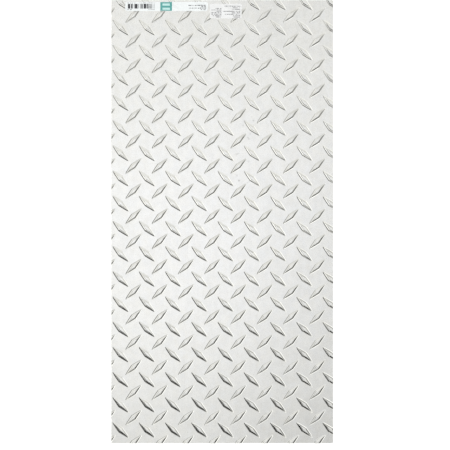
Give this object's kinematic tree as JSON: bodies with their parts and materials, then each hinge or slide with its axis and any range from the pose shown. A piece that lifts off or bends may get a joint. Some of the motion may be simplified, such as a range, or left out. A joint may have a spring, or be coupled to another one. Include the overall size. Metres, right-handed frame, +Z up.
{
  "type": "aluminum tread plate",
  "caption": "Flat rectangular aluminium sheet with raised diamond lugs in alternating diagonals on one face, a plain back and blank labels near one end.",
  "frame": {"origin": "centre of the underside, where the sheet rests", "axes": "+X across the sheet, +Y along it towards the labelled end, +Z up out of the lugged face"},
  "size_m": [0.3048, 0.6096, 0.003],
  "materials": {
    "tread_metal": "polished",
    "label_paper": "satin"
  },
  "bodies": {
    "root": {"tread_sheet": "tread_metal", "label_strip": "label_paper", "label_tag": "label_paper"}
  },
  "joints": []
}
